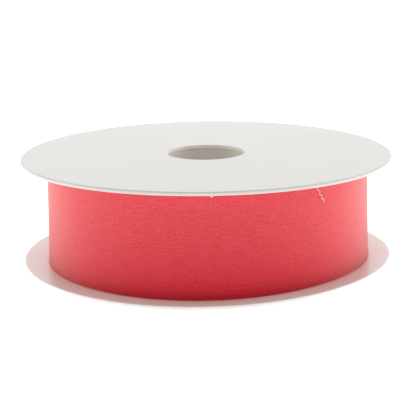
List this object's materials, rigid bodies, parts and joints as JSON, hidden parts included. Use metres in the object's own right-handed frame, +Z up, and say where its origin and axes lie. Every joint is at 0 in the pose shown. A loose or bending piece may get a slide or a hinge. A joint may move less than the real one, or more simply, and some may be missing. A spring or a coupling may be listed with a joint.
{
  "type": "roll of elastic tape on a flanged spool",
  "caption": "Wide flat elastic tape wound on a white spool with round flat flanges and a central hole, lying flat.",
  "frame": {"origin": "centre of the lower flange's underside, where the roll rests", "axes": "+Z up along the spool's axis, -Y to the front as pictured, +X to the right"},
  "size_m": [0.15, 0.15, 0.0436],
  "materials": {
    "flange_plastic": "smooth moulded white plastic with a soft sheen",
    "hub_plastic": "warm white moulded plastic, matt",
    "elastic": "finely woven coral red elastic, matt, with a soft fuzz"
  },
  "bodies": {
    "root": {"flange_bottom": "flange_plastic", "hub": "hub_plastic", "tape_roll": "elastic", "flange_top": "flange_plastic"}
  },
  "joints": []
}
